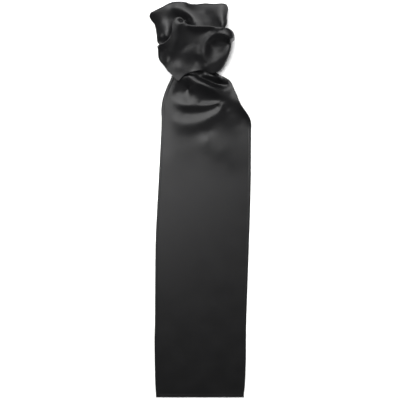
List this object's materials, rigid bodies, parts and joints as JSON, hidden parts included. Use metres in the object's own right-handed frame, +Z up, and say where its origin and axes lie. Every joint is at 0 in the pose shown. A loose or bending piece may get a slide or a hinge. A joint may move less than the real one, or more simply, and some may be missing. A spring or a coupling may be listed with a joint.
{
  "type": "knotted satin neck scarf, lying flat",
  "caption": "Plain dark satin neck scarf lying flat, with a long hemmed tail gathered into a loose folded knot at its upper end.",
  "frame": {"origin": "middle of the scarf's outline as it lies, on the surface that it lies on", "axes": "+Y along the scarf from the foot hem to the knot, +Z up from the surface, +X across the scarf to the right as the knot is seen from above"},
  "size_m": [0.2185, 0.8496, 0.0593],
  "materials": {
    "satin": "polyester satin weave, smooth lustrous face",
    "hem": "the same satin turned over and lockstitched"
  },
  "bodies": {
    "root": {"neck": "satin", "tail": "satin", "hem_left": "hem", "hem_right": "hem", "hem_foot": "hem", "knot_wrap": "satin", "knot_crown": "satin"}
  },
  "joints": []
}
